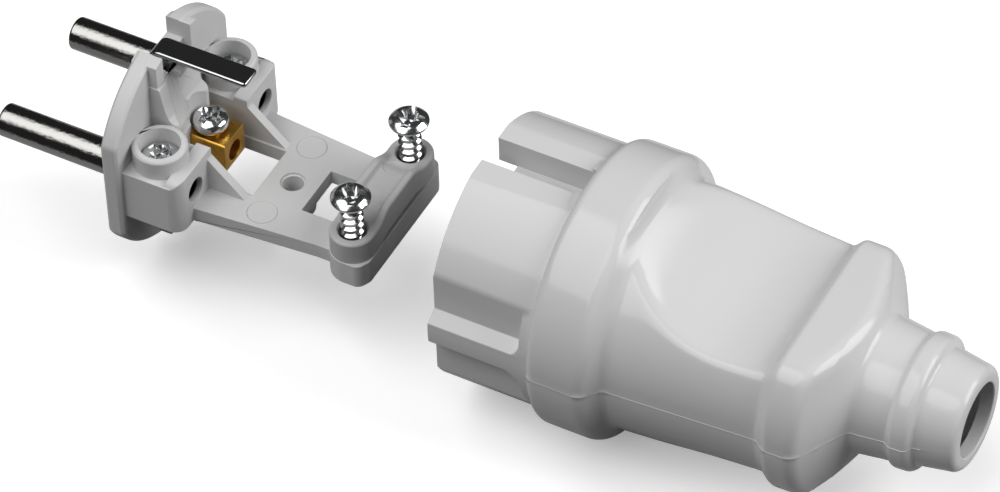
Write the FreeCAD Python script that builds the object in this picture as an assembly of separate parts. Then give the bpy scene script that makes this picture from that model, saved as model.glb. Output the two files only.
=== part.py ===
"""Rewirable two-pin earthed plug, shown taken apart: the carrier with its pins, terminals, earth strap and
cord clamp on the left, and the one-piece housing drawn off it along the plug's axis.

Millimetres. X runs from the pins to the cord, Y along the line of the two pins, Z up.
The origin is on the plug's axis, in the carrier's front face, midway between the pins.
Lengths that start with shell are measured from the housing's mouth."""
import FreeCAD
import Part
import math
import os

V = FreeCAD.Vector

# The taken-apart position
open_gap = 52.0            # how far the housing is drawn back; at 0 its mouth is flush with the carrier's face
eps = 0.02                 # running gap between a screw and its hole
fit = 0.15                 # gap between the carrier and the housing all round

# Pins
pin_d = 4.8
pin_length = 19.0
pin_pitch = 19.0
pin_tip_r = 1.3
pin_waist_d = 4.2          # the part that the face is moulded round
shoulder_gap = 0.05        # the face is relieved round the pin's shoulder, by this much and this deep
shoulder_sunk = 0.25
barrel_d = 5.8             # the hollow terminal end behind the face
wire_bore_d = 3.2
wire_bore_depth = 7.0

# Carrier: front face
face_r = 17.0
face_flat = 15.1           # half the width across the two side flats
face_t = 2.6
face_chamfer = 0.45
notch_half = 3.65          # the notches that the housing's slot walls slide into
notch_floor = 13.5
pad_half = 5.5             # the thicker strip behind the face that carries the earth strap
pad_back = 3.9

# Carrier: terminal blocks and towers
tower_x = 6.1
tower_d = 7.7
tower_top = 6.6
tower_bevel = 0.35
well_d = 5.8
well_floor = 3.5
block_back = 11.3
block_outer = 14.0
block_inner = 4.9
block_top = 3.3
block_bottom = -5.0
block_corner_r = 2.0
entry_wall_t = 2.2
entry_wall_top = 4.1
wire_entry_d = 3.6
gusset_t = 1.3
gusset_end = 17.0

# Carrier: saddle between the blocks
saddle_near = -5.7
saddle_far = 3.3
saddle_back = 6.6
saddle_lip = 6.2
saddle_step = 4.85
saddle_top = 12.3
trough_r = 2.3
trough_x = 5.4             # its axis at the very top; it leans outward so that it runs out at the lip
trough_lean = 0.2
trough_y = -2.6
ledge_half = 1.5

# Carrier: base plate
deck_top = -2.7
deck_t = 2.4
deck_half_front = 10.5
deck_half_back = 9.0
window1 = (9.0, 17.2, 4.6)      # start, end and half width
window2 = (24.6, 32.2, 4.1)
fixing_x = 20.9
fixing_cbore_d = 3.5
fixing_d = 2.9
fixing_pilot_d = 2.2
fixing_boss_d = 6.0
fixing_boss_h = 2.4
ejector_x = 20.0
ejector_y = 6.9
ejector_d = 4.2
ejector_depth = 0.12

# Cord clamp
clamp_x = 34.95
clamp_pitch = 16.2
clamp_end_r = 3.2
boss_extra = 0.12          # the boss is this much bigger than the bar all round
boss_top = -1.4
boss_bottom = -5.3
boss_back_corner = 9.6
saddle_bar_t = 3.5
bar_arch = 1.6
bar_arch_half = 6.0
bar_hole_d = 3.9
bar_lip = 0.55
clamp_screw_lift = 5.8     # from the bar up to the head's widest part, as the screws stand before a cord is clamped
clamp_head_d = 5.7
clamp_head_h = 1.35
clamp_cone_h = 1.2
clamp_shank_d = 2.9

# Small screws
terminal_head_d = 5.4
terminal_head_h = 1.3
terminal_shank_d = 2.6
earth_head_d = 5.2
earth_head_h = 2.0
earth_head_lift = 0.7
recess_across = 2.9
recess_slot = 0.75
recess_depth = 1.1

# Earth strap and terminal
strap_w = 4.0
strap_t = 0.8
strap_corner_r = 0.6
strap_top = 14.9
strap_front = 0.05
strap_back = 15.5
strap_return = 11.9        # top of the leg that goes back under the curl
strap_web_x = 2.85
earth_block_half = 2.65
earth_block_top = 2.2
earth_block_back = 11.9
earth_bore_d = 3.0
earth_bore_z = -0.6
earth_screw_x = 8.4
head_gap = 0.25            # room round the screw's head in the saddle

# Housing, from its mouth
shell_length = 71.5
skirt_r = 18.6
skirt_length = 15.0
skirt_flat = 16.5          # half the width across the side recesses
skirt_wall = 1.45
key_flat = 17.9            # height of the flats beside the earth slots
recess_end = 13.5
rib_half = 1.6             # half the thickness of the side rib at its outer face
rib_root = 2.9
slot_half = 2.25
slot_wall_t = 1.25
slot_floor = 13.8
slot_floor_t = 1.1
slot_open = 2.8            # the front of the slot has no floor, for the strap's curl
collar_r = 20.1
collar_back = 23.6
body_r_front = 17.55
body_front = 25.2
body_r_back = 16.15
body_back = 47.4
shoulder_r = 17.45
shoulder_back = 52.9
neck_front = 57.0
neck_r = 9.55
bead_front = 62.2
bead_back = 65.8
bead_r = 9.35
nose_r = 8.2
nose_end_r = 7.3
cable_hole_r = 5.25
cable_lip = 3.5
wall = 1.6
scoop_low = 9.4            # height of the thumb hollow's floor above the axis
scoop_foot_x = 31.3        # where its sloping front would meet that floor without the big radius
scoop_angle = 50.0
scoop_r = 23.0
scoop_wall = 1.15
valley_x = 47.0
valley_r = 1.4
pad_x = 48.5
pad_z = 11.8
pad_r = 0.9
pad_rise = 0.3
scoop_edge_r = 1.3

# Housing screw, drawn back in its well
pillar_d = 6.8
well_bore_d = 5.2
house_screw_head_d = 4.8
house_screw_head_h = 1.8
house_screw_shank_d = 2.6
house_screw_length = 10.0
house_screw_sunk = 2.0     # underside of its head, inward from the collar

# Worked out from the sizes above
pin_y = pin_pitch / 2
clamp_y = clamp_pitch / 2
deck_bottom = deck_top - deck_t
bar_top = boss_top + saddle_bar_t
web_back = strap_web_x + strap_t
boss_hole_d = clamp_shank_d + 2 * eps
skirt_in_r = face_r + fit
skirt_in_flat = face_flat + fit
pillar_top = deck_bottom - fixing_boss_h - 2 * fit
big = 60.0


def point(u, v, plane):
    """A point of a flat outline, in plane XY, XZ or YZ."""
    return {"XY": V(u, v, 0), "XZ": V(u, 0, v), "YZ": V(0, u, v)}[plane]


def rounded_wire(corners, plane):
    """Closed outline through corners (u, v) or (u, v, radius), each corner rounded by its radius."""
    corners = [tuple(c) + (0.0,) * (3 - len(c)) for c in corners]
    runs = []
    for i, (u, v, r) in enumerate(corners):
        here = V(u, v, 0)
        before = V(*corners[i - 1][:2], 0) - here
        after = V(*corners[(i + 1) % len(corners)][:2], 0) - here
        before.normalize()
        after.normalize()
        if r == 0:
            runs.append((here, None, here))
            continue
        half = before.getAngle(after) / 2
        away = (before + after).normalize()
        centre = here + away * (r / math.sin(half))
        runs.append((here + before * (r / math.tan(half)), centre - away * r, here + after * (r / math.tan(half))))
    edges = []
    for i, (start, middle, end) in enumerate(runs):
        a, b = point(start.x, start.y, plane), point(end.x, end.y, plane)
        if middle is not None:
            edges.append(Part.Arc(a, point(middle.x, middle.y, plane), b).toShape())
        following = runs[(i + 1) % len(runs)][0]
        c = point(following.x, following.y, plane)
        if b.distanceToPoint(c) > 1e-6:
            edges.append(Part.LineSegment(b, c).toShape())
    return Part.Wire(edges)


def slab(corners, plane, start, end):
    """A flat outline given thickness from start to end along the third axis."""
    axis = {"XY": V(0, 0, 1), "XZ": V(0, 1, 0), "YZ": V(1, 0, 0)}[plane]
    face = Part.Face(rounded_wire(corners, plane))
    face.translate(axis * start)
    return face.extrude(axis * (end - start))


def turned(corners, axis=V(1, 0, 0), plane="XY", base=V(0, 0, 0)):
    """A flat outline turned a full circle about an axis."""
    face = Part.Face(rounded_wire(corners, plane))
    face.translate(base)
    return face.revolve(base, axis, 360)


def rod(diameter, start, end, direction=V(0, 0, 1)):
    """A round rod whose axis starts at a point and runs for a length along direction."""
    return Part.makeCylinder(diameter / 2, end, start, direction)


def box(x0, x1, y0, y1, z0, z1):
    return Part.makeBox(x1 - x0, y1 - y0, z1 - z0, V(x0, y0, z0))


def mirrored(shape, normal):
    return shape.mirror(V(0, 0, 0), normal)


def both_sides(shape):
    """The shape and its copy on the other side of the plug, for parts that come in pairs along Y."""
    return [shape, mirrored(shape, V(0, 1, 0))]


def cross_recess(top, x, y):
    """Cutter for the cross in a screw head, tapering to its bottom."""
    arms = []
    for turn in (0, 90):
        arm = Part.makeLoft([rounded_wire([(-a, -b), (a, -b), (a, b), (-a, b)], "XY").translated(V(0, 0, z))
                             for a, b, z in ((recess_across / 4, recess_slot / 3, -recess_depth),
                                             (recess_across / 2, recess_slot / 2, 0.0),
                                             (recess_across / 2, recess_slot / 2, 0.6))], True, True)
        arm.rotate(V(0, 0, 0), V(0, 0, 1), turn + 45)
        arms.append(arm)
    tool = arms[0].fuse(arms[1])
    tool.translate(V(x, y, top))
    return tool


def upright_screw(x, y, head_bottom, head_d, head_h, shank_d, tip_z, cone_h=0.0):
    """A screw standing on Z, with a domed head, a cross recess and a plain shank; cone_h is a cone under the head."""
    r = head_d / 2
    top = head_bottom + head_h
    outline = [(0, tip_z), (shank_d / 2, tip_z), (shank_d / 2, head_bottom - cone_h), (r, head_bottom),
               (r, head_bottom + 0.45 * head_h), (0.8 * r, head_bottom + 0.85 * head_h), (0.5 * r, top), (0, top)]
    screw = turned(outline, V(0, 0, 1), "XZ", V(x, y, 0))
    return screw.cut(cross_recess(top, x, y))


def disc_outline(radius, flat, height):
    """A disc with two side flats, standing in the YZ plane with its front at X 0."""
    disc = Part.makeCylinder(radius, height, V(0, 0, 0), V(1, 0, 0))
    return disc.common(box(-1, height + 1, -flat, flat, -big, big))


def strap_profile(side):
    """Half of the folded strap: the arm, the curl at the face, the leg back and the web down to the middle."""
    t = strap_t
    back, front, top = strap_back, strap_front, strap_top
    leg = strap_return
    web = strap_web_x
    outer = [(web, 0), (web + t, 0), (web + t, leg, 1.3), (front + t, leg, 0.3), (front + t, top - t, 0.9),
             (back, top - t), (back, top), (front, top, 1.9), (front, leg - t, 1.3), (web, leg - t, 0.3)]
    return [(u, side * v) + tuple(k) for u, v, *k in outer]


def make_strap():
    arms = [slab(strap_profile(side), "XZ", -strap_w / 2, strap_w / 2) for side in (1, -1)]
    plan = slab([(-3, -strap_w / 2), (strap_back, -strap_w / 2, strap_corner_r),
                 (strap_back, strap_w / 2, strap_corner_r), (-3, strap_w / 2)], "XY", -20, 20)
    return arms[0].fuse(arms[1]).common(plan).removeSplitter()


def terminal_block():
    """One terminal block on the near side: body, raised entry wall, tower and gusset, before its holes."""
    y_out, y_in = -block_outer, -block_inner
    body = slab([(face_t - 0.5, y_out), (block_back, y_out, block_corner_r), (block_back, y_in), (face_t - 0.5, y_in)],
                "XY", block_bottom, block_top)
    entry = slab([(block_back - entry_wall_t, y_out), (block_back, y_out, block_corner_r), (block_back, y_in),
                  (block_back - entry_wall_t, y_in)], "XY", block_top, entry_wall_top)
    dome = slab([(y_out, block_bottom), (y_out, entry_wall_top, 1.6), (y_in, entry_wall_top, 0.3),
                 (y_in, block_bottom)], "YZ", -1, block_back + 1)
    r = tower_d / 2
    tower = turned([(0, block_bottom + 1), (r, block_bottom + 1), (r, tower_top - tower_bevel),
                    (r - tower_bevel, tower_top), (0, tower_top)], V(0, 0, 1), "XZ", V(tower_x, -pin_y, 0))
    gusset = slab([(block_back - 1, entry_wall_top - 0.3), (gusset_end, deck_top), (gusset_end, deck_top - 0.5),
                   (block_back - 1, deck_top - 0.5)], "XZ", y_in - gusset_t, y_in)
    return body.fuse([entry.common(dome), tower, gusset])


def saddle():
    """The raised web between the blocks, with the trough that the earth wire runs in."""
    web = slab([(face_t - 0.5, deck_top), (saddle_back, deck_top), (saddle_back, saddle_lip, 0.5),
                (saddle_step + 0.5, saddle_lip + 1.0, 0.5), (saddle_step, saddle_lip + 2.6, 2.0),
                (pad_back + 0.3, saddle_top, 0.3), (face_t - 0.5, saddle_top)], "XZ", saddle_near, saddle_far)
    rounded = slab([(face_t - 0.5, saddle_near), (saddle_back, saddle_near, 0.8), (saddle_back, saddle_far, 0.8),
                    (face_t - 0.5, saddle_far)], "XY", deck_top, saddle_top)
    web = web.common(rounded)
    trough = rod(2 * trough_r, V(trough_x, trough_y, 16.0), 12.0, V(trough_lean, 0, -1))
    ledge = box(pad_back - 0.2, saddle_step + 0.2, -ledge_half, ledge_half, saddle_top - 0.8, saddle_top)
    return web.cut(trough).fuse(ledge)


def clamp_outline(end_r, back_corner=None):
    """The clamp's plan: a bar with round ends, or the same with a straight back edge for the boss below it."""
    reach = clamp_y + end_r
    x0, x1 = clamp_x - end_r, clamp_x + end_r
    if back_corner is None:
        return [(x0, -reach, end_r - 0.01), (x1, -reach, end_r - 0.01), (x1, reach, end_r - 0.01), (x0, reach, end_r - 0.01)]
    return [(x0, -reach, end_r - 0.01), (x1 - 0.9, -reach, 1.4), (x1, -back_corner, 1.4),
            (x1, back_corner, 1.4), (x1 - 0.9, reach, 1.4), (x0, reach, end_r - 0.01)]


def make_carrier():
    """The moulded insert: face, pads, terminal blocks, saddle, base plate and clamp boss, all one piece."""
    face = disc_outline(face_r, face_flat, face_t)
    rims = [e for e in face.Edges if abs(e.BoundBox.XLength) < 1e-6]
    face = face.makeChamfer(face_chamfer, rims)
    pad = disc_outline(face_r - 0.1, pad_half, pad_back)
    solid = face.fuse([pad, saddle()] + [s for half in both_sides(terminal_block()) for s in half.Solids])
    deck = slab([(face_t - 0.5, -deck_half_front), (block_back, -deck_half_front), (29.5, -deck_half_back),
                 (clamp_x, -deck_half_back), (clamp_x, deck_half_back), (29.5, deck_half_back),
                 (block_back, deck_half_front), (face_t - 0.5, deck_half_front)], "XY", deck_bottom, deck_top)
    boss = slab(clamp_outline(clamp_end_r + boss_extra, boss_back_corner), "XY", boss_bottom, boss_top)
    fixing_boss = rod(fixing_boss_d, V(fixing_x, 0, deck_bottom - fixing_boss_h), fixing_boss_h + 0.1)
    solid = solid.fuse([deck, boss, fixing_boss])
    cuts = []
    for side in (1, -1):
        z0, z1 = sorted((side * notch_floor, side * big))
        cuts.append(box(-1, face_t + fit, -notch_half, notch_half, z0, z1))
        z0, z1 = sorted((side * (slot_floor - slot_floor_t - 2 * fit), side * big))
        cuts.append(box(face_t, big, -notch_half, notch_half, z0, z1))
        z0, z1 = sorted((side * (strap_return - strap_t - eps), side * big))
        cuts.append(box(-1, web_back + eps, -strap_w / 2 - eps, strap_w / 2 + eps, z0, z1))
    cuts.append(box(strap_web_x - eps, pad_back + eps, -strap_w / 2 - eps, strap_w / 2 + eps,
                    -strap_return, strap_return))
    cuts.append(box(web_back - 0.1, earth_block_back + 1, -earth_block_half - eps, earth_block_half + eps,
                    deck_top, earth_block_top + eps))
    cuts.append(box(window1[0], window1[1], -window1[2], window1[2], -big, deck_top + 0.01))
    cuts.append(box(window2[0], window2[1], -window2[2], window2[2], -big, boss_top + 1))
    cuts.append(rod(earth_head_d + 2 * head_gap, V(earth_screw_x, 0, earth_block_top), big))
    cuts.append(rod(fixing_cbore_d, V(fixing_x, 0, deck_top - 0.4), 1))
    cuts.append(rod(fixing_d, V(fixing_x, 0, deck_bottom - 0.9), deck_t + 1))
    cuts.append(rod(fixing_pilot_d, V(fixing_x, 0, deck_bottom - fixing_boss_h - 1), deck_t + fixing_boss_h + 1))
    for y in (-1, 1):
        cuts.append(rod(ejector_d, V(ejector_x, y * ejector_y, deck_top - ejector_depth), 1))
        cuts.append(rod(pin_waist_d, V(-1, y * pin_y, 0), 1 + face_t, V(1, 0, 0)))
        cuts.append(rod(pin_d + 2 * shoulder_gap, V(-1, y * pin_y, 0), 1 + shoulder_sunk, V(1, 0, 0)))
        cuts.append(rod(barrel_d, V(face_t - 0.1, y * pin_y, 0), block_back - 0.9 - face_t + 0.1, V(1, 0, 0)))
        cuts.append(rod(wire_entry_d, V(block_back - 2, y * pin_y, 0), 3, V(1, 0, 0)))
        cuts.append(rod(well_d, V(tower_x, y * pin_y, well_floor), tower_top))
        cuts.append(rod(terminal_shank_d + 2 * eps, V(tower_x, y * pin_y, 0), tower_top))
        cuts.append(rod(boss_hole_d, V(clamp_x, y * clamp_y, boss_bottom + 0.6), 6))
    solid = solid.cut(cuts)
    return solid.removeSplitter()


def make_pin(side):
    """A round pin with a rounded tip, its waist moulded into the face, and the hollow terminal barrel behind it."""
    y = side * pin_y
    back = block_back - 0.9
    r, w, b = pin_d / 2, pin_waist_d / 2, barrel_d / 2
    tip = [(-pin_length + pin_tip_r * (1 - math.sin(math.radians(a))), r - pin_tip_r * (1 - math.cos(math.radians(a))))
           for a in (90, 60, 30, 0)]
    outline = [(-pin_length, 0)] + tip + [(0, r), (0, w), (face_t - 0.1, w), (face_t - 0.1, b), (back, b), (back, 0)]
    pin = turned(outline, base=V(0, y, 0))
    bore = rod(wire_bore_d, V(back - wire_bore_depth, y, 0), wire_bore_depth + 1, V(1, 0, 0))
    return pin.cut([bore, rod(terminal_shank_d + 2 * eps, V(tower_x, y, 0), big)])


def make_earth_block():
    """The brass terminal: a square block with a wire bore from the back and a clamping screw from the top."""
    block = box(web_back + eps, earth_block_back, -earth_block_half, earth_block_half, deck_top + eps, earth_block_top)
    edges = [e for e in block.Edges if e.BoundBox.XLength > 1]
    block = block.makeChamfer(0.25, edges)
    bore = rod(earth_bore_d, V(web_back + 1.2, 0, earth_bore_z), big, V(1, 0, 0))
    return block.cut([bore, rod(terminal_shank_d + 2 * eps, V(earth_screw_x, 0, earth_bore_z), big)])


def make_clamp_bar():
    """The moulded clamp bar: round ends, an arched middle with a lip along each long edge, two screw holes."""
    plan = slab(clamp_outline(clamp_end_r), "XY", boss_top - 1, bar_top + bar_arch + 2)
    reach = clamp_y + clamp_end_r + 1
    a = bar_arch_half
    side_view = [(-reach, boss_top), (-a - 0.6, boss_top, 2.5), (-a + 2.4, boss_top + 1.0, 2.5),
                 (a - 2.4, boss_top + 1.0, 2.5), (a + 0.6, boss_top, 2.5), (reach, boss_top), (reach, bar_top),
                 (a + 0.6, bar_top, 3), (a - 2.6, bar_top + bar_arch, 3), (-a + 2.6, bar_top + bar_arch, 3),
                 (-a - 0.6, bar_top, 3), (-reach, bar_top)]
    bar = plan.common(slab(side_view, "YZ", clamp_x - clamp_end_r - 1, clamp_x + clamp_end_r + 1))
    hollow = [(v, z - bar_lip) for v, z in ((a - 0.4, bar_top + 0.8), (a - 2.6, bar_top + bar_arch),
                                            (-a + 2.6, bar_top + bar_arch), (-a + 0.4, bar_top + 0.8))]
    hollow += [(-a + 0.4, bar_top + 6), (a - 0.4, bar_top + 6)]
    trough = slab(hollow, "YZ", clamp_x - clamp_end_r + 1.0, clamp_x + clamp_end_r - 1.0)
    holes = [rod(bar_hole_d, V(clamp_x, y * clamp_y, boss_top - 1), big) for y in (-1, 1)]
    return bar.cut([trough] + holes).removeSplitter()


def scoop_cutter(inset):
    """What is taken off above the thumb hollow and the shoulder's flat; inset sinks it by a wall for the inside."""
    steep = math.radians(scoop_angle)
    start = scoop_foot_x - inset * math.tan(steep / 2)
    low = scoop_low - inset
    run = 14.0 / math.tan(steep)
    return slab([(start - run, low + 14), (start, low, scoop_r), (valley_x, low, valley_r + inset),
                 (pad_x + inset / 2, pad_z - inset, pad_r), (shell_length, pad_z - inset + pad_rise),
                 (shell_length, low + 14)], "XZ", -30, 30)


def shell_outside():
    """The housing's turned form: skirt, collar, grip, shoulder, neck, bead and nose."""
    outline = [(0, 0), (0, skirt_r), (skirt_length, skirt_r), (skirt_length, collar_r - 1.2),
               (skirt_length + 0.5, collar_r - 0.4), (skirt_length + 1.6, collar_r), (collar_back - 1.4, collar_r),
               (collar_back, collar_r - 0.6), (body_front - 0.6, body_r_front + 0.5), (body_front + 0.6, body_r_front),
               (body_back, body_r_back), (pad_x, shoulder_r - 0.5), (pad_x + 1.2, shoulder_r),
               (shoulder_back - 1.2, shoulder_r - 0.2), (shoulder_back + 0.2, shoulder_r - 1.0), (54.8, 14.0),
               (neck_front - 0.4, neck_r + 0.9), (neck_front + 0.6, neck_r - 0.05), (bead_front, neck_r - 0.6),
               (bead_front + 0.5, bead_r), (bead_back - 0.4, bead_r), (bead_back, nose_r),
               (shell_length - 1.0, nose_end_r), (shell_length - 0.3, nose_end_r - 0.3),
               (shell_length, nose_end_r - 1.0), (shell_length, 0)]
    return turned(outline)


def shell_void():
    """The housing's inside, straight in the skirt and following the hollows in the grip."""
    r = wall
    outline = [(-1, 0), (-1, skirt_in_r), (16.5, skirt_in_r), (18.0, body_r_front - r), (body_back, body_r_back - r),
               (52.4, body_r_back - r), (56.6, cable_hole_r + 2.0), (shell_length - cable_lip, cable_hole_r + 0.7),
               (shell_length - cable_lip, cable_hole_r), (shell_length + 1, cable_hole_r), (shell_length + 1, 0)]
    void = turned(outline)
    sides = box(-2, 16.5, -skirt_in_flat, skirt_in_flat, -big, big).fuse(box(16.4, big + 30, -big, big, -big, big))
    tool = scoop_cutter(scoop_wall)
    return void.common(sides).cut([tool, mirrored(tool, V(0, 0, 1))])


def side_recess(side, corner_r):
    """Cutter for the flat recess above or below the side rib, near side; side is 1 above and -1 below."""
    section = slab([(-skirt_flat, side * rib_root), (-skirt_r - 0.3, side * (rib_half - 0.1)),
                    (-big, side * (rib_half - 0.1)), (-big, side * 14), (-skirt_flat, side * 14)], "YZ", -1, recess_end)
    plan = slab([(-2, side * (rib_half - 0.2)), (recess_end, side * (rib_half - 0.2), corner_r), (recess_end, side * 20),
                 (-2, side * 20)], "XZ", -big, 0)
    return section.common(plan)


def slot_channel(side):
    """The walls and floor of the earth slot, standing inward from the skirt."""
    reach = slot_half + slot_wall_t
    z0 = slot_floor - slot_floor_t
    channel = box(0, skirt_length + 2, -reach, reach, z0, skirt_r)
    return channel if side > 0 else mirrored(channel, V(0, 0, 1))


def slot_cut(side):
    floor = box(-1, skirt_length, -slot_half, slot_half, slot_floor, big)
    front = box(-1, slot_open, -big, big, 0, notch_floor + fit)
    front = front.common(box(-1, slot_open, -slot_half - slot_wall_t - 0.01, slot_half + slot_wall_t + 0.01,
                             slot_floor - slot_floor_t - 1, big))
    mouth = box(-1, slot_open, -slot_half, slot_half, slot_floor - slot_floor_t - 1, big)
    tool = floor.fuse([front, mouth])
    return tool if side > 0 else mirrored(tool, V(0, 0, 1))


def make_shell():
    """The one-piece housing, built from its mouth and then moved to where it stands."""
    outside = shell_outside()
    tool = scoop_cutter(0)
    solid = outside.cut([tool, mirrored(tool, V(0, 0, 1))])
    recesses = [side_recess(1, 2.2), side_recess(-1, 3.6)]
    cuts = [s for r in recesses for s in both_sides(r)]
    for side in (1, -1):
        z0, z1 = sorted((side * key_flat, side * big))
        cuts.append(box(-1, recess_end + 0.6, -big, big, z0, z1))
    cuts.append(shell_void())
    solid = solid.cut(cuts)
    trim = outside.common(box(-1, skirt_length + 2, -big, big, -key_flat, key_flat))
    pillar = rod(pillar_d, V(fixing_x, 0, -collar_r + 1), collar_r - 1 + pillar_top)
    solid = solid.fuse([slot_channel(1).common(trim), slot_channel(-1).common(trim), pillar])
    well = rod(well_bore_d, V(fixing_x, 0, -big), big + pillar_top - 3.0)
    hole = rod(house_screw_shank_d + 2 * eps, V(fixing_x, 0, -big), big)
    solid = solid.cut([slot_cut(1), slot_cut(-1), well, hole])
    solid = solid.removeSplitter()
    solid.translate(V(open_gap, 0, 0))
    return solid


def make_house_screw():
    """The screw that holds the housing on, drawn down in its well so that the housing can come off."""
    head = house_screw_sunk - collar_r
    tip = head + house_screw_length
    screw = upright_screw(0, 0, -head, house_screw_head_d, house_screw_head_h, house_screw_shank_d, -tip)
    screw = mirrored(screw, V(0, 0, 1))
    screw.translate(V(open_gap + fixing_x, 0, 0))
    return screw


def save(name, shape):
    solids = shape.Solids
    shape = solids[0] if len(solids) == 1 else Part.makeCompound(solids)
    shape.exportStep(os.path.join("parts", name + ".step"))
    print(name, len(solids), "solids", round(shape.Volume, 1), shape.isValid())


def build():
    parts = {"carrier": make_carrier(), "shell": make_shell(), "earth_strap": make_strap(),
             "earth_terminal": make_earth_block(), "clamp_bar": make_clamp_bar()}
    for name, side in (("near", -1), ("far", 1)):
        parts["pin_" + name] = make_pin(side)
        parts["terminal_screw_" + name] = upright_screw(tower_x, side * pin_y, well_floor + eps, terminal_head_d,
                                                    terminal_head_h, terminal_shank_d, 0.3)
        parts["clamp_screw_" + name] = upright_screw(clamp_x, side * clamp_y, bar_top + clamp_screw_lift, clamp_head_d,
                                                 clamp_head_h, clamp_shank_d, boss_bottom + 0.8,
                                                 clamp_cone_h)
    parts["earth_terminal_screw"] = upright_screw(earth_screw_x, 0, earth_block_top + earth_head_lift, earth_head_d,
                                              earth_head_h, terminal_shank_d, earth_bore_z + 0.4)
    parts["housing_screw"] = make_house_screw()
    return parts


if __name__ == "__main__":
    os.makedirs("parts", exist_ok=True)
    for part_name, part_shape in build().items():
        save(part_name, part_shape)
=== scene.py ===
import math

import bpy
from mathutils import Matrix, Vector


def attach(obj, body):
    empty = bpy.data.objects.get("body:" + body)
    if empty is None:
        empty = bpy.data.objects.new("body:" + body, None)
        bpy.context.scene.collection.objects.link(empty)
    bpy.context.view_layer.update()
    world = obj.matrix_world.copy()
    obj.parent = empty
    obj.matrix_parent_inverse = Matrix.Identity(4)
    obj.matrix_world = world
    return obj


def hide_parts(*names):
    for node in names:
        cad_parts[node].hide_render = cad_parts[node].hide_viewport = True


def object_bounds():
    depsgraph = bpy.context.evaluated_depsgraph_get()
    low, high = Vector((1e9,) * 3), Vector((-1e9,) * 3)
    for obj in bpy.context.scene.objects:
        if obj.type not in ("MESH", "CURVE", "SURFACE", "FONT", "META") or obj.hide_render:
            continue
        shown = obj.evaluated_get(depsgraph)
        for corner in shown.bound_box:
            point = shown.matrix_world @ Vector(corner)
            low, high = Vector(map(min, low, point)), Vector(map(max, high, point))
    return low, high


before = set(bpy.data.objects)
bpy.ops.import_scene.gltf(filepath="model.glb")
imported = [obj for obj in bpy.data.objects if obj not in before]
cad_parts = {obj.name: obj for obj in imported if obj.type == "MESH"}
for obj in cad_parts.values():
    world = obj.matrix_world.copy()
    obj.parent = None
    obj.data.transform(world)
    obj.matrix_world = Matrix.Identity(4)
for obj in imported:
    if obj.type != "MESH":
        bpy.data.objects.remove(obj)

cad_box = [list(corner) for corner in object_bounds()]
MM = 0.001

# The part's own sizes in millimetres, as in its solids
open_gap = 52.0
skirt_length = 15.0
well_x = open_gap + 20.9
clamp_x, clamp_y = 34.95, 8.1
bar_top = 2.1
tower_x, pin_y, well_floor = 6.1, 9.5, 3.5
earth_x = 8.4
pin_length, pin_r, waist_r = 19, 2.4, 2.05

# Points nearer to each other than this are one point
weld = 0.002 * MM
fine_weld = 0.001 * MM


# Shaping by hand

def pick_none():
    bpy.ops.object.select_all(action="DESELECT")


def pick(piece):
    """Makes one object the only selected and active one."""
    pick_none()
    piece.select_set(True)
    bpy.context.view_layer.objects.active = piece


def edit_all(piece):
    """Opens one object in edit mode with its whole mesh selected."""
    pick(piece)
    bpy.ops.object.mode_set(mode="EDIT")
    bpy.ops.mesh.select_all(action="SELECT")


def leave_edit():
    bpy.ops.object.mode_set(mode="OBJECT")


def close_up():
    """Welds the seams and poles of what is selected and turns its faces outwards."""
    bpy.ops.mesh.remove_doubles(threshold=weld)
    bpy.ops.mesh.normals_make_consistent(inside=False)


def drawn_line(name, points):
    """A chain of edges through points in millimetres, drawn by extruding one vertex from point to point."""
    pick_none()
    bpy.ops.mesh.primitive_plane_add(size=MM, location=Vector(points[0]) * MM)
    piece = bpy.context.object
    piece.name = name
    edit_all(piece)
    bpy.ops.mesh.merge(type="CENTER")
    for here, there in zip(points, points[1:]):
        step = (Vector(there) - Vector(here)) * MM
        bpy.ops.mesh.extrude_region_move(TRANSFORM_OT_translate={"value": step})
    leave_edit()
    bpy.ops.object.transform_apply(location=True, rotation=True, scale=True)
    return piece


def rounded_path(corners, steps=5):
    """Points along straight runs through corners (u, v) or (u, v, radius), with an arc at each radius."""
    path = []
    for i, corner in enumerate(corners):
        here = Vector(corner[:2])
        radius = corner[2] if len(corner) > 2 else 0
        if not radius or i in (0, len(corners) - 1):
            path.append(here)
            continue
        before = (Vector(corners[i - 1][:2]) - here).normalized()
        after = (Vector(corners[i + 1][:2]) - here).normalized()
        half = before.angle(after) / 2
        centre = here + (before + after).normalized() * radius / math.sin(half)
        start = here + before * radius / math.tan(half) - centre
        end = here + after * radius / math.tan(half) - centre
        turn = math.atan2(start.x * end.y - start.y * end.x, start.dot(end))
        for k in range(steps + 1):
            a = turn * k / steps
            path.append(centre + Vector((start.x * math.cos(a) - start.y * math.sin(a),
                                         start.x * math.sin(a) + start.y * math.cos(a))))
    return path


def divided(path, least):
    """A path's points but the last, with each run cut into as many parts as are at least so long."""
    points = []
    for here, there in zip(path, path[1:]):
        parts = max(1, int((there - here).length / least))
        points += [here.lerp(there, k / parts) for k in range(parts)]
    return points


def spun(name, profile, axis, steps, centre=(0, 0, 0)):
    """Spins a profile, given as (along the axis, radius) in millimetres, a full turn into a closed solid."""
    if axis == "X":
        points = [(centre[0] + u, centre[1] + v, centre[2]) for u, v in profile]
        direction = (1, 0, 0)
    else:
        points = [(centre[0] + v, centre[1], centre[2] + u) for u, v in profile]
        direction = (0, 0, 1)
    piece = drawn_line(name, points)
    edit_all(piece)
    bpy.ops.mesh.spin(steps=steps, angle=2 * math.pi, center=Vector(centre) * MM, axis=direction)
    bpy.ops.mesh.select_all(action="SELECT")
    close_up()
    leave_edit()
    return piece


def finish_modifiers(piece):
    pick(piece)
    for modifier in list(piece.modifiers):
        bpy.ops.object.modifier_apply(modifier=modifier.name)


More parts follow.
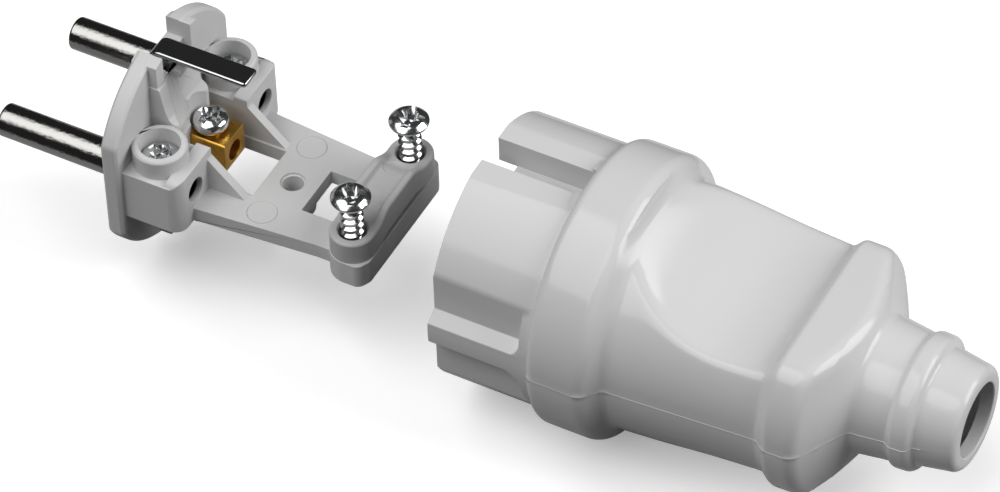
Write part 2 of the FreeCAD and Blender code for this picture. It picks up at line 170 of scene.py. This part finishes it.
def joined_solid(piece, tool, operation):
    """Adds a tool to a piece or cuts it away, and throws the tool out."""
    cut = piece.modifiers.new("cut", "BOOLEAN")
    cut.operation = operation
    cut.solver = "EXACT"
    cut.object = tool
    finish_modifiers(piece)
    bpy.data.objects.remove(tool)
    return piece


def block(name, low, high):
    """A box between two corners in millimetres."""
    pick_none()
    low, high = Vector(low) * MM, Vector(high) * MM
    bpy.ops.mesh.primitive_cube_add(size=1, location=(low + high) / 2)
    piece = bpy.context.object
    piece.name = name
    piece.scale = high - low
    bpy.ops.object.transform_apply(location=True, rotation=True, scale=True)
    return piece


def copied_node(node, name):
    """A copy of a CAD node with its loose triangles merged, to be shaped further."""
    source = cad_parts[node]
    mesh = source.data.copy()
    piece = bpy.data.objects.new(name, mesh)
    bpy.context.collection.objects.link(piece)
    mesh.transform(source.matrix_world)
    edit_all(piece)
    bpy.ops.mesh.remove_doubles(threshold=fine_weld)
    leave_edit()
    if mesh.has_custom_normals:
        bpy.ops.mesh.customdata_custom_splitnormals_clear()
    return piece


def round_edges(piece, width, sharp=35, segments=2):
    """Joins flat triangles into faces and rounds the sharp edges by a width in millimetres."""
    edit_all(piece)
    bpy.ops.mesh.dissolve_limited(angle_limit=math.radians(0.3))
    leave_edit()
    edge = piece.modifiers.new("edge", "BEVEL")
    edge.width = width * MM
    edge.segments = segments
    edge.limit_method = "ANGLE"
    edge.angle_limit = math.radians(sharp)
    edge.use_clamp_overlap = False
    finish_modifiers(piece)


def smooth(piece, angle=30):
    """Shades a piece smooth up to an angle in degrees, with the shading of flat faces kept flat."""
    pick(piece)
    bpy.ops.object.shade_smooth_by_angle(angle=math.radians(angle))
    even = piece.modifiers.new("even", "WEIGHTED_NORMAL")
    even.keep_sharp = True
    finish_modifiers(piece)


def fit_out(piece, body, slot, material, *nodes):
    """Gives a finished piece its material and its body, and hides the CAD nodes that it stands for; the slot is
    not used.
    """
    piece.data.materials.clear()
    piece.data.materials.append(material)
    for polygon in piece.data.polygons:
        polygon.material_index = 0
    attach(piece, body)
    if nodes:
        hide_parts(*nodes)


# Finishes

def linear(hex_colour):
    """An sRGB hex colour as the linear RGBA that Blender's sockets take."""
    channels = [int(hex_colour[i:i + 2], 16) / 255 for i in (1, 3, 5)]
    return [c / 12.92 if c <= 0.04045 else ((c + 0.055) / 1.055) ** 2.4 for c in channels] + [1.0]


def add_node(tree, kind, inputs=(), **settings):
    """Adds one node with its settings; an input is either a value or another node's output to link from."""
    node = tree.nodes.new(kind)
    for name, value in settings.items():
        setattr(node, name, value)
    for name, value in dict(inputs).items():
        if isinstance(value, bpy.types.NodeSocket):
            tree.links.new(value, node.inputs[name])
        else:
            node.inputs[name].default_value = value
    return node


def new_material(name, colour):
    """A node material with its colour set, ready for the finish's other values."""
    material = bpy.data.materials.new(name)
    material.use_nodes = True
    shader = material.node_tree.nodes["Principled BSDF"]
    shader.inputs["Base Color"].default_value = linear(colour)
    return material, shader


def moulded_plastic(name, colour, roughness, wave, grain_size, grain_depth):
    """Injection-moulded plastic: an even colour, the mould's slow waviness and its spark-eroded grain.
    Lengths are in metres. The real grain is under a tenth of a millimetre, and is drawn coarser to show."""
    material, shader = new_material(name, colour)
    tree = material.node_tree
    place = add_node(tree, "ShaderNodeTexCoord").outputs["Object"]
    shader.inputs["IOR"].default_value = 1.53
    shader.inputs["Specular IOR Level"].default_value = 0.28
    patches = add_node(tree, "ShaderNodeTexNoise", {"Vector": place, "Scale": 1 / (8 * MM), "Detail": 3.0})
    spread = add_node(tree, "ShaderNodeMapRange", {
        "Value": patches.outputs["Fac"], "To Min": roughness * 0.85, "To Max": roughness * 1.15}, clamp=False)
    tree.links.new(spread.outputs["Result"], shader.inputs["Roughness"])
    ripple = add_node(tree, "ShaderNodeTexNoise", {"Vector": place, "Scale": 1 / wave, "Detail": 1.0})
    slow = add_node(tree, "ShaderNodeBump", {
        "Height": ripple.outputs["Fac"], "Strength": 0.05, "Distance": 0.2 * MM})
    grain = add_node(tree, "ShaderNodeTexNoise", {"Vector": place, "Scale": 1 / grain_size, "Detail": 2.0})
    fine = add_node(tree, "ShaderNodeBump", {
        "Height": grain.outputs["Fac"], "Strength": 0.3, "Distance": grain_depth,
        "Normal": slow.outputs["Normal"]})
    tree.links.new(fine.outputs["Normal"], shader.inputs["Normal"])
    return material


def worked_metal(name, colour, roughness, grit, depth, pitting=0.4):
    """A plated, rolled or cut metal: its colour, its polish and its unevenness.
    Lengths are in metres. The real grit is a tenth of a millimetre or less, and is drawn coarser to show."""
    material, shader = new_material(name, colour)
    tree = material.node_tree
    place = add_node(tree, "ShaderNodeTexCoord").outputs["Object"]
    shader.inputs["Metallic"].default_value = 1.0
    noise = add_node(tree, "ShaderNodeTexNoise", {
        "Vector": place, "Scale": 1 / grit, "Detail": 5.0, "Roughness": 0.6})
    spread = add_node(tree, "ShaderNodeMapRange", {
        "Value": noise.outputs["Fac"], "From Min": 0.3, "From Max": 0.7,
        "To Min": roughness * 0.7, "To Max": roughness * 1.4})
    tree.links.new(spread.outputs["Result"], shader.inputs["Roughness"])
    bump = add_node(tree, "ShaderNodeBump", {
        "Height": noise.outputs["Fac"], "Strength": pitting, "Distance": depth})
    tree.links.new(bump.outputs["Normal"], shader.inputs["Normal"])
    return material


# Housing: ABS from a polished mould, so soft clear highlights on an even light grey
housing_abs = moulded_plastic("moulded_abs_polished", "#c6c6c6", 0.14, 9 * MM, 0.5 * MM, 0.004 * MM)
# Carrier: polyamide from a plain mould, so nearly the same grey but flatter
carrier_polyamide = moulded_plastic("moulded_polyamide_satin", "#c2c2c2", 0.42, 7 * MM, 0.35 * MM, 0.01 * MM)
# Cord clamp: the same polyamide in a darker grey
clamp_polyamide = moulded_plastic("moulded_polyamide_mid_grey", "#aeaeae", 0.4, 6 * MM, 0.35 * MM, 0.01 * MM)
# Pins: nickel on turned brass, a mirror broken up by pits; darker than clean nickel, to match the photograph
nickel = worked_metal("bright_nickel_on_turned_brass", "#8c8b89", 0.03, 0.5 * MM, 0.06 * MM, 1.0)
# Earth strap: cold-rolled strip, smooth with a cool cast; darker than clean steel, to match the photograph
strip = worked_metal("cold_rolled_strip", "#a0a1a2", 0.14, 0.4 * MM, 0.006 * MM)
# Earth terminal: sawn and drilled brass, so a warm, dull gleam
brass = worked_metal("sawn_brass", "#dba94c", 0.33, 0.35 * MM, 0.03 * MM)
# Screws: bright zinc on steel, so white glints with dark ones beside them
zinc = worked_metal("bright_zinc_on_steel", "#d6d7d8", 0.15, 0.4 * MM, 0.02 * MM)


# Housing, with x counted from its own mouth

hollows_from, hollows_to = 24, 57
nose_r = 6
seam_height, seam_reach, seam_squeeze = 0.06, 0.6, 0.22
skirt_tuck = 0.4


def soft_least(a, b, blend):
    """The smaller of two lengths, with a rounded change from one to the other."""
    h = max(blend - abs(a - b), 0.0) / blend
    return min(a, b) - h * h * h * blend / 6


def height_along(path, x):
    """Height of a path at x, and out of reach where the path hasn't begun."""
    for p, q in zip(path, path[1:]):
        if p.x <= x <= q.x and q.x > p.x:
            return p.y + (q.y - p.y) * (x - p.x) / (q.x - p.x)
    return path[-1].y if x > path[-1].x else 99.0


def housing_outline():
    """The wall's section from the collar's front over the outside to the nose, and back along the inside.
    Its long runs are divided, so that the thumb hollows have points to press."""
    outside = [(14.95, 17.4), (14.95, 20.1, 1.5), (23.4, 20.1, 2.4), (25.4, 17.5, 1.6), (47.2, 16.15, 1.3),
               (48.8, 17.4, 1.5), (52.9, 17.3, 2.4), (54.9, 13.9, 2.5), (57.2, 9.55, 1.2), (62.3, 8.9, 0.4),
               (63.1, 9.5, 1.0), (65.4, 9.4, 1.1), (65.9, 8.2, 0.5), (71.5, 7.3, 1.2), (71.5, 5.25, 0.25),
               (69.6, 5.25)]
    inside = [Vector(p) for p in ((69.6, 6.2), (66.0, 6.45), (56.6, 7.25), (52.4, 14.55), (47.4, 14.55),
                                  (18.0, 15.95), (16.5, 17.4))]
    outline = divided(rounded_path(outside, 6) + [inside[0]], 0.75) + divided(inside, 1.5)
    return outline + [inside[-1], outline[0]]


def press_thumb_hollows(shell):
    """Presses a hollow into the top and the bottom, outside and inside, with rims softer at the shoulder."""
    run = 14 / math.tan(math.radians(50))
    hollow = rounded_path([(31.3 - run, 23.4), (31.3, 9.4, 23), (46.9, 9.4, 2.2), (48.6, 11.8, 1.1),
                           (75.0, 12.3)], 14)
    hollow_inside = rounded_path([(30.5 - run, 22.2), (30.5, 8.1, 23), (49.2, 8.1, 2.0), (50.6, 10.4, 1.5),
                                  (75.0, 10.9)], 14)
    for vertex in shell.data.vertices:
        x = vertex.co.x / MM - open_gap
        y, z = vertex.co.y / MM, vertex.co.z / MM
        radius = math.hypot(y, z)
        if x < hollows_from or x > hollows_to or abs(z) < 0.5 or radius < nose_r:
            continue
        mid_wall = 16.75 - 0.063 * (x - 25) if x < 47 else min(16.0, 15.4 - (x - 53) * 1.75)
        outer = radius > mid_wall
        path = hollow if outer else hollow_inside
        blend = 2.0 + 1.4 * min(max((x - 45.5) / 3, 0), 1) if outer else 0.8
        limit = height_along(path, x) * radius / abs(z)
        reach = soft_least(radius, limit, blend)
        vertex.co.y *= reach / radius
        vertex.co.z *= reach / radius


def raise_seam(shell):
    """The mould's parting line: a raised seam along both sides, made fine by drawing its neighbours in."""
    for vertex in shell.data.vertices:
        x = vertex.co.x / MM - open_gap
        y, z = vertex.co.y / MM, vertex.co.z / MM
        outer = abs(y) > 8.0 if x > hollows_to else abs(y) > 15.6 - max(0.0, x - 49)
        if not outer or abs(z) > seam_reach:
            continue
        if abs(z) < 0.02:
            vertex.co.y += math.copysign(seam_height, y) * MM
        else:
            vertex.co.z *= seam_squeeze


def make_skirt():
    """The skirt with its ribs and slots: the solid's own front, cut off just inside the collar."""
    skirt = copied_node("shell", "housing_skirt")
    grip = block("grip", (open_gap + skirt_length + skirt_tuck, -40, -40), (open_gap + 90, 40, 40))
    joined_solid(skirt, grip, "DIFFERENCE")
    round_edges(skirt, 0.12, 30)
    smooth(skirt, 30)
    fit_out(skirt, "housing", "housing_plastic", housing_abs)


def sink_screw_well(shell):
    """The pillar inside the housing, and the stepped well in it for the screw from below."""
    pillar = spun("pillar", [(-19.2, 0), (-19.2, 3.4), (-7.8, 3.4), (-7.8, 0)], "Z", 48, (well_x, 0, 0))
    joined_solid(shell, pillar, "UNION")
    steps = [(-22, 0), (-22, 2.6), (-10.8, 2.6), (-10.8, 1.32), (-5, 1.32), (-5, 0)]
    joined_solid(shell, spun("well", steps, "Z", 48, (well_x, 0, 0)), "DIFFERENCE")


def make_housing():
    """The housing: everything from the collar back is spun and pressed, and the skirt is a piece of its own."""
    shell = spun("housing", [(open_gap + p.x, p.y) for p in housing_outline()], "X", 240)
    press_thumb_hollows(shell)
    raise_seam(shell)
    make_skirt()
    sink_screw_well(shell)
    smooth(shell, 32)
    fit_out(shell, "housing", "housing_plastic", housing_abs, "shell")


# Screws, all standing upright with z counted from the plug's axis

def cross_cutter(x, y, top, across, slot, depth, turned):
    """The driver's cross: two arms that taper downwards and a pointed middle, sunk from top."""
    cross = None
    for turn in (turned, turned + 90):
        arm = block("arm", (x - across / 2, y - slot / 2, top - depth), (x + across / 2, y + slot / 2, top + 1))
        for vertex in arm.data.vertices:
            if vertex.co.z < top * MM:
                vertex.co.x = x * MM + (vertex.co.x - x * MM) * 0.6
                vertex.co.y = y * MM + (vertex.co.y - y * MM) * 0.7
        edit_all(arm)
        bpy.ops.transform.rotate(value=math.radians(turn), orient_axis="Z",
                                 center_override=(x * MM, y * MM, 0))
        leave_edit()
        cross = arm if cross is None else joined_solid(cross, arm, "UNION")
    middle = spun("middle", [(top - depth - 0.35, 0), (top - depth - 0.06, slot * 0.53),
                             (top + 0.02, across * 0.27), (top + 1, across * 0.27), (top + 1, 0)],
                  "Z", 16, (x, y, 0))
    return joined_solid(cross, middle, "UNION")


def shift(piece, x, y):
    """Moves a piece's mesh sideways by millimetres."""
    for vertex in piece.data.vertices:
        vertex.co.x += x * MM
        vertex.co.y += y * MM


def thread(x, y, low, high, core, outer, pitch):
    """A screw's raised thread: a three-cornered ridge wound round the core, with its foot a little inside it."""
    foot = x + core - 0.12
    half = pitch * 0.3
    ridge = drawn_line("thread", [(foot, y, low - half), (x + outer, y, low), (foot, y, low + half),
                                  (foot, y, low - half)])
    edit_all(ridge)
    bpy.ops.mesh.remove_doubles(threshold=weld)
    leave_edit()
    shift(ridge, -x, -y)
    wind = ridge.modifiers.new("wind", "SCREW")
    wind.axis = "Z"
    wind.angle = 2 * math.pi
    wind.screw_offset = pitch * MM
    wind.iterations = max(1, round((high - low) / pitch))
    wind.steps = wind.render_steps = 28
    wind.use_merge_vertices = False
    finish_modifiers(ridge)
    shift(ridge, x, y)
    edit_all(ridge)
    bpy.ops.mesh.remove_doubles(threshold=fine_weld)
    bpy.ops.mesh.fill_holes(sides=3)
    bpy.ops.mesh.normals_make_consistent(inside=False)
    leave_edit()
    return ridge


def soften_head(screw, lowest):
    """Rounds a screw's sharp edges that lie wholly above a height in millimetres."""
    pick(screw)
    bpy.ops.object.mode_set(mode="EDIT")
    bpy.ops.mesh.select_mode(type="EDGE")
    bpy.ops.mesh.select_all(action="DESELECT")
    bpy.ops.mesh.edges_select_sharp(sharpness=math.radians(40))
    leave_edit()
    ends = screw.data.vertices
    for edge in screw.data.edges:
        if edge.select and min(ends[k].co.z for k in edge.vertices) < lowest * MM:
            edge.select = False
    bpy.ops.object.mode_set(mode="EDIT")
    bpy.ops.mesh.bevel(offset=0.07 * MM, segments=2, clamp_overlap=True)
    bpy.ops.mesh.select_mode(type="VERT")
    leave_edit()


def make_screw(node, outline, steps, x, y, cross, threads=None):
    """One screw: its head and shank spun, its thread wound on, its cross sunk in, its head's edges rounded."""
    screw = spun(node + "_finished", rounded_path(outline, 4), "Z", steps, (x, y, 0))
    if threads:
        joined_solid(screw, thread(x, y, **threads), "UNION")
    joined_solid(screw, cross_cutter(x, y, **cross), "DIFFERENCE")
    soften_head(screw, cross["top"] - cross["depth"] * 0.8)
    smooth(screw, 32)
    fit_out(screw, "insert", "screw_metal", zinc, node)


def clamp_screw(node, y, turned):
    """A clamp screw, backed out of the bar: a threaded shank that widens to a domed head."""
    rim = bar_top + 5.8
    top = rim + 1.38
    outline = [(-4.4, 0), (-4.4, 0.7), (-3.2, 1.2), (rim - 1.3, 1.2, 0.6), (rim - 0.1, 2.7, 0.15),
               (rim + 0.3, 2.85, 0.2), (rim + 1.0, 2.1, 1.2), (top, 0.9, 2.0), (top, 0)]
    cross = dict(top=top, across=5.5, slot=1.3, depth=1.6, turned=turned)
    threads = dict(low=-3.0, high=rim - 1.9, core=1.2, outer=1.62, pitch=1.3)
    make_screw(node, outline, 48, clamp_x, y, cross, threads)


def sunk_screw(node, y, turned):
    """A terminal screw: a domed head that fills its well, with a wide cross."""
    low = well_floor + 0.02
    top = low + 1.5
    outline = [(low - 0.5, 0), (low - 0.5, 1.28), (low, 1.28), (low, 2.7, 0.2), (low + 0.75, 2.7, 0.5),
               (low + 1.4, 1.5, 2.0), (top, 0.6, 1.0), (top, 0)]
    cross = dict(top=top, across=5.4, slot=1.4, depth=1.05, turned=turned)
    make_screw(node, outline, 40, tower_x, y, cross)


def earth_screw(node, turned):
    """The earth terminal's pan-headed screw, standing a little clear of the brass."""
    low = 2.9
    top = low + 2.05
    outline = [(0.2, 0), (0.2, 1.28), (low, 1.28), (low, 2.45, 0.2), (low + 0.5, 2.62, 0.6),
               (low + 1.3, 2.45, 0.9), (top - 0.12, 1.5, 1.5), (top, 0.6, 1.0), (top, 0)]
    cross = dict(top=top, across=4.9, slot=1.3, depth=1.3, turned=turned)
    make_screw(node, outline, 40, earth_x, 0, cross)


# Clamp bar, with u across it and v from its middle towards either end

bar_end_r, bar_bottom, bar_arch = 3.2, -1.4, 1.6
bar_straight, bar_rounded = 0.7, 0.3
trough_depth, mark_depth, rim_r = 0.75, 0.2, 0.4
ejector_marks = ((-0.3, -2.7), (-0.3, 4.1))


def eased(value, start, end):
    """0 at start, 1 at end, with a soft change between."""
    t = min(max((value - start) / (end - start), 0.0), 1.0)
    return t * t * (3 - 2 * t)


def bar_point(s, t):
    """Where a point of a square from -1 to 1 comes to lie on the bar's top, in metres."""
    v = clamp_y * min(abs(t) / bar_straight, 1.0)
    past = bar_end_r * math.sin(max(abs(t) - bar_straight, 0) / bar_rounded * math.pi / 2)
    u = math.sin(s * math.pi / 2) * math.sqrt(max(bar_end_r ** 2 - past ** 2, 0))
    v += past
    z = bar_top + bar_arch * eased(v, 7.1, 3.0)
    z -= trough_depth * eased(v, 6.9, 4.6) * eased(abs(u), 2.35, 1.75)
    for mark_u, mark_v in ejector_marks:
        z -= mark_depth * eased(math.hypot(u - mark_u, math.copysign(v, t) - mark_v), 1.6, 1.45)
    inset = bar_end_r - math.hypot(u, past)
    if inset < rim_r:
        z -= rim_r - math.sqrt(max(rim_r ** 2 - (rim_r - max(inset, 0)) ** 2, 0))
    return clamp_x * MM + u * MM, math.copysign(v, t) * MM, z * MM


def make_clamp_bar():
    """The clamp bar: a grid warped to the round-ended plan, arched, with a trough between two lips."""
    pick_none()
    bpy.ops.mesh.primitive_grid_add(x_subdivisions=64, y_subdivisions=256, size=2, location=(0, 0, 0))
    bar = bpy.context.object
    bar.name = "clamp_bar_finished"
    for vertex in bar.data.vertices:
        vertex.co = bar_point(vertex.co.x, vertex.co.y)

    # the underside is drawn down from the top, and hollowed less than the top is arched
    edit_all(bar)
    bpy.ops.mesh.extrude_region_move(TRANSFORM_OT_translate={"value": (0, 0, -2 * MM)})
    leave_edit()
    for vertex in bar.data.vertices:
        if vertex.select:
            vertex.co.z = (bar_bottom + 1.0 * eased(abs(vertex.co.y) / MM, 7.0, 3.2)) * MM
    edit_all(bar)
    close_up()
    leave_edit()

    for y in (-clamp_y, clamp_y):
        hole = rounded_path([(-3, 0), (-3, 1.95), (bar_top - 0.25, 1.95, 0.3), (bar_top + 0.1, 2.3), (6, 2.3),
                             (6, 0)])
        joined_solid(bar, spun("hole", hole, "Z", 40, (clamp_x, y, 0)), "DIFFERENCE")
    smooth(bar, 40)
    fit_out(bar, "insert", "clamp_plastic", clamp_polyamide, "clamp_bar")


# Pins

def make_pin(node, y):
    """A round pin: a nearly flat tip with a rounded edge, a straight shank, and the solid's own barrel."""
    root, join = -0.02, 2.5
    outline = rounded_path([(-pin_length, 0), (-pin_length, pin_r, 0.45), (root, pin_r, 0.02), (root, waist_r),
                            (join, waist_r)], 8)
    pin = spun(node + "_finished", outline + [Vector((join, 0))], "X", 64, (0, y, 0))
    barrel = copied_node(node, "barrel")
    edit_all(barrel)
    bpy.ops.mesh.bisect(plane_co=((join - 1) * MM, 0, 0), plane_no=(1, 0, 0), use_fill=True,
                        clear_inner=True)
    leave_edit()
    joined_solid(pin, barrel, "UNION")
    smooth(pin, 32)
    fit_out(pin, "insert", "pin_metal", nickel, node)


# Moulded, bent and sawn pieces that keep their solid's shape

def softened(node, slot, material, width, segments=2, narrower=1.0):
    """A solid's own shape, drawn in sideways if need be, with its edges rounded by a width in millimetres."""
    piece = copied_node(node, node + "_finished")
    for vertex in piece.data.vertices:
        vertex.co.y *= narrower
    round_edges(piece, width, 35, segments)
    smooth(piece, 30)
    fit_out(piece, "insert", slot, material, node)


def dress(node, material):
    """Gives a CAD node that stays as it is its finish."""
    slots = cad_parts[node].data.materials
    slots.clear()
    slots.append(material)


# Floor, light and camera

def studio_sheet(name, finish, colour, size, location):
    """A flat matt sheet, which belongs to the studio and not to the object."""
    pick_none()
    bpy.ops.mesh.primitive_plane_add(size=size, location=location)
    paper = bpy.context.object
    paper.name = name
    material, shader = new_material(finish, colour)
    shader.inputs["Roughness"].default_value = 0.9
    paper.data.materials.append(material)
    return paper, shader


def make_floor():
    """A plain pale table top, glowing faintly to thin the shadows, and a grey sheet on it under the part that is
    a painted reflection, seen only in the polished metal.
    """
    table = cad_box[0][2]
    floor, shader = studio_sheet("floor", "matt_white_paper", "#f4f4f4", 6.0, (0, 0, table))
    shader.inputs["Emission Color"].default_value = (1, 1, 1, 1)
    shader.inputs["Emission Strength"].default_value = 0.3
    floor.visible_diffuse = floor.visible_glossy = False

    # painted reflection: a grey sheet that only the undersides of the polished metal see
    sheet, shader = studio_sheet("painted_reflection_sheet", "painted_grey_reflection", "#c0c0c0", 1.0, (0.06, 0.02, table + 0.0002))
    sheet.scale = (0.26, 0.12, 1)
    sheet.visible_camera = sheet.visible_diffuse = sheet.visible_shadow = False


def soft_light(name, size, energy, location, target):
    """A rectangular soft box aimed at a point."""
    light = bpy.data.lights.new(name, "AREA")
    light.shape = "RECTANGLE"
    light.size, light.size_y = size
    light.energy = energy
    lamp = bpy.data.objects.new(name, light)
    bpy.context.collection.objects.link(lamp)
    lamp.location = location
    lamp.rotation_mode = "QUATERNION"
    lamp.rotation_quaternion = (Vector(target) - Vector(location)).to_track_quat("-Z", "Y")


def make_room():
    """A dark room round the table, so that only the soft boxes show in the polished metal."""
    room = bpy.data.worlds.new("studio")
    bpy.context.scene.world = room
    room.use_nodes = True
    walls = room.node_tree.nodes["Background"]
    walls.inputs["Color"].default_value = (1, 1, 1, 1)
    walls.inputs["Strength"].default_value = 0.045
    bpy.context.scene.view_settings.view_transform = "Standard"


def make_camera():
    """The photograph's long lens, looking down from the near right with a slight tilt of the camera."""
    azimuth, elevation, roll = (math.radians(a) for a in (29.69, 46.24, -2.14))
    focal_pixels, image_width, sensor = 6000.0, 1000, 36.0
    distance, across, up_by = 0.82286, 0.0467, -0.01744
    back = Vector((math.sin(azimuth) * math.cos(elevation), -math.cos(azimuth) * math.cos(elevation),
                   math.sin(elevation)))
    right = Vector((math.cos(azimuth), math.sin(azimuth), 0))
    upward = back.cross(right)
    right, upward = (right * math.cos(roll) + upward * math.sin(roll),
                     upward * math.cos(roll) - right * math.sin(roll))
    eye = right * across + upward * up_by + back * distance
    camera = bpy.data.cameras.new("camera")
    camera.sensor_width = sensor
    camera.lens = focal_pixels * sensor / image_width
    camera.clip_start, camera.clip_end = 0.01, 20
    holder = bpy.data.objects.new("camera", camera)
    bpy.context.collection.objects.link(holder)
    holder.matrix_world = Matrix.Translation(eye) @ Matrix((right, upward, back)).transposed().to_4x4()
    bpy.context.scene.camera = holder


make_housing()
clamp_screw("clamp_screw_near", -clamp_y, 58)
clamp_screw("clamp_screw_far", clamp_y, 80)
sunk_screw("terminal_screw_near", -pin_y, 20)
sunk_screw("terminal_screw_far", pin_y, 47)
earth_screw("earth_terminal_screw", 15)
make_pin("pin_near", -pin_y)
make_pin("pin_far", pin_y)
softened("carrier", "carrier_plastic", carrier_polyamide, 0.12)
make_clamp_bar()
# the strap is a little narrower than its solid, as in the photograph
softened("earth_strap", "strap_metal", strip, 0.34, 4, 0.88)
softened("earth_terminal", "terminal_brass", brass, 0.12)
dress("housing_screw", zinc)

part_middle = (0.052, 0, 0)
make_room()
make_floor()
soft_light("overhead_box", (1.1, 0.95), 10.6, (-0.25, -0.42, 0.85), part_middle)
soft_light("right_box", (0.7, 0.7), 9.0, (0.85, 0.3, 0.5), part_middle)
make_camera()
